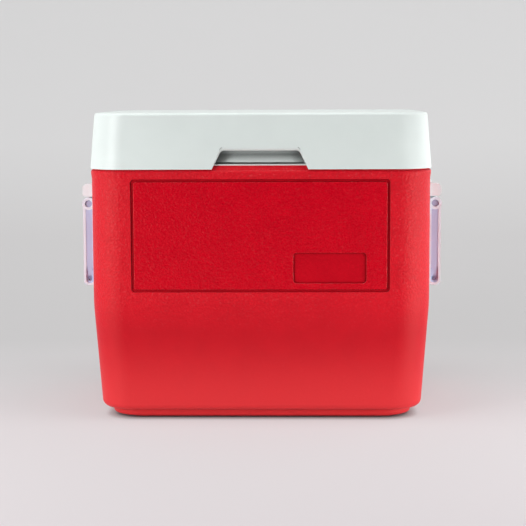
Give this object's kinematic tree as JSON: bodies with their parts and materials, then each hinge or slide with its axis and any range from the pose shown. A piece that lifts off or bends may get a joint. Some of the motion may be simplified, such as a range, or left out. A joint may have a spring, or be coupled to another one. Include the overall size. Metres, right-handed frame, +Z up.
{
  "type": "insulated chest cooler",
  "caption": "Insulated chest cooler: foam-filled red tub on a low plinth, hinged white lid with a finger notch, and a swinging carrying handle on each side.",
  "frame": {"origin": "centre of the flat underside that the cooler stands on", "axes": "+Z up; the front, with the finger notch and the panel, faces -Y; the side handles are at -X (left) and +X (right)"},
  "size_m": [0.4342, 0.3121, 0.3609],
  "materials": {
    "shell_red": "satin",
    "lid_white": "satin",
    "liner_white": "satin",
    "handle_white": "satin",
    "pin_grey": "satin",
    "screw_steel": "satin",
    "foam": "matte"
  },
  "bodies": {
    "cooler_body": {"body_shell": "shell_red", "body_liner": "liner_white", "body_foam": "foam", "foam_port_plug": "handle_white", "left_handle_bracket": "handle_white", "left_pivot_pin_front": "pin_grey", "left_pivot_pin_rear": "pin_grey", "left_bracket_screws": "screw_steel", "left_hinge_body_leaf": "handle_white", "left_hinge_pin": "screw_steel", "left_hinge_body_screws": "screw_steel", "right_handle_bracket": "handle_white", "right_pivot_pin_front": "pin_grey", "right_pivot_pin_rear": "pin_grey", "right_bracket_screws": "screw_steel", "right_hinge_body_leaf": "handle_white", "right_hinge_pin": "screw_steel", "right_hinge_body_screws": "screw_steel"},
    "lid": {"lid_shell": "lid_white", "lid_liner": "liner_white", "lid_foam": "foam", "left_hinge_lid_leaf": "handle_white", "left_hinge_lid_screws": "screw_steel", "right_hinge_lid_leaf": "handle_white", "right_hinge_lid_screws": "screw_steel"},
    "left_bail": {"left_handle": "handle_white"},
    "right_bail": {"right_handle": "handle_white"}
  },
  "joints": [
    {"name": "lid_hinge", "type": "hinge", "parent": "cooler_body", "child": "lid", "pos_m": [0, 0.1567, 0.2929], "axis": [-1, 0, 0], "range_deg": [0, 100]},
    {"name": "left_handle_swing", "type": "hinge", "parent": "cooler_body", "child": "left_bail", "pos_m": [-0.2095, 0, 0.2508], "axis": [0, 1, 0], "range_deg": [0, 110]},
    {"name": "right_handle_swing", "type": "hinge", "parent": "cooler_body", "child": "right_bail", "pos_m": [0.2095, 0, 0.2508], "axis": [0, -1, 0], "range_deg": [0, 110]}
  ]
}
